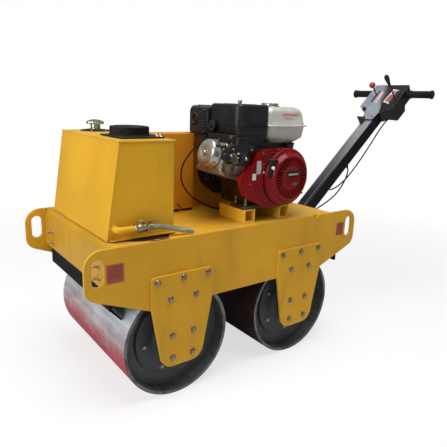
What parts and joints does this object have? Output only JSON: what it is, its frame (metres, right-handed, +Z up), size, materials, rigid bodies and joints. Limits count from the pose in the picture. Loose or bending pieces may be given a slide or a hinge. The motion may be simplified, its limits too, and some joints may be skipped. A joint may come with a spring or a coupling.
{
  "type": "smooth drum roller",
  "caption": "Walk-behind smooth roller: two steel drums under a plate frame, engine, belt guard and water tank on its deck, and a hinged steering handle with grips and levers.",
  "frame": {"origin": "on the ground, below the middle of the whole machine's box", "axes": "+X the way the front drum points, away from the handle; +Y the machine's left side; +Z up"},
  "size_m": [1.9176, 0.66, 1.2158],
  "materials": {
    "yellow_paint": "weathered yellow machine enamel, chipped and dusty",
    "guard_paint": "newer orange-yellow enamel",
    "front_drum_steel": "rolled steel, grey where polished, red oxide where not",
    "rear_drum_steel": "rolled steel, dark maroon rust",
    "hub_grey": "dark grey, oily",
    "axle_steel": "turned steel, dull",
    "scraper_steel": "worn plate, dirty",
    "black_paint": "black satin powder coat",
    "console_print": "satin grey and black cover plate with blank stickers",
    "rubber": "matt black rubber",
    "hose_pale": "cloudy clear hose",
    "black_plastic": "moulded black plastic",
    "red_plastic": "red ball knob",
    "chrome": "bright plated",
    "brass": "dull brass and steel",
    "engine_alu": "cast aluminium",
    "engine_red": "red enamel",
    "fuel_silver": "pale silver enamel",
    "cap_black": "black screw cap",
    "muffler_black": "heat-dulled black",
    "case_black": "black enamel on a casting",
    "exhaust_iron": "heat-rusted iron",
    "pump_iron": "dark cast iron"
  },
  "bodies": {
    "chassis": {"side_plate_left": "yellow_paint", "side_plate_right": "yellow_paint", "hanger_front_left": "yellow_paint", "hanger_front_right": "yellow_paint", "hanger_rear_left": "yellow_paint", "hanger_rear_right": "yellow_paint", "deck_plate": "yellow_paint", "front_panel": "yellow_paint", "rear_panel": "yellow_paint", "water_tank": "yellow_paint", "engine_rails": "yellow_paint", "belt_guard": "guard_paint", "front_axles": "axle_steel", "rear_axles": "axle_steel", "front_scraper": "scraper_steel", "rear_scraper": "scraper_steel", "handle_bracket": "black_paint", "throttle_cable": "rubber", "cable_gland": "rubber", "drain_hose": "hose_pale", "tank_filler": "black_plastic", "air_cleaner": "black_plastic", "cable_block": "black_plastic", "tank_breather": "chrome", "drain_valve": "brass", "engine_block": "engine_alu", "valve_cover": "engine_alu", "carburettor": "engine_alu", "fan_cover": "engine_red", "recoil_starter": "engine_red", "fuel_tank": "fuel_silver", "fuel_cap": "cap_black", "muffler": "muffler_black", "gear_case": "case_black", "exhaust_elbow": "exhaust_iron", "hydraulic_pump": "pump_iron"},
    "front_drum": {"front_drum": "front_drum_steel", "front_drum_hubs": "hub_grey"},
    "rear_drum": {"rear_drum": "rear_drum_steel", "rear_drum_hubs": "hub_grey"},
    "handle": {"handle_column": "black_paint", "console_box": "black_paint", "console_plate": "console_print", "handlebar": "black_paint", "grip_left": "rubber", "grip_right": "rubber", "vibration_lever": "red_plastic", "travel_lever": "black_plastic", "throttle_lever": "black_paint", "control_cable": "rubber", "travel_cable": "rubber"}
  },
  "joints": [
    {"name": "front_drum_spin", "type": "hinge", "parent": "chassis", "child": "front_drum", "pos_m": [0.61482, 0, 0.2125], "axis": [0, 1, 0], "continuous": true},
    {"name": "rear_drum_spin", "type": "hinge", "parent": "chassis", "child": "rear_drum", "pos_m": [0.04682, 0, 0.2125], "axis": [0, 1, 0], "continuous": true},
    {"name": "handle_hinge", "type": "hinge", "parent": "chassis", "child": "handle", "pos_m": [-0.21418, 0, 0.45], "axis": [0, 1, 0], "range_deg": [0, 40], "deforming": ["travel_cable"]}
  ]
}
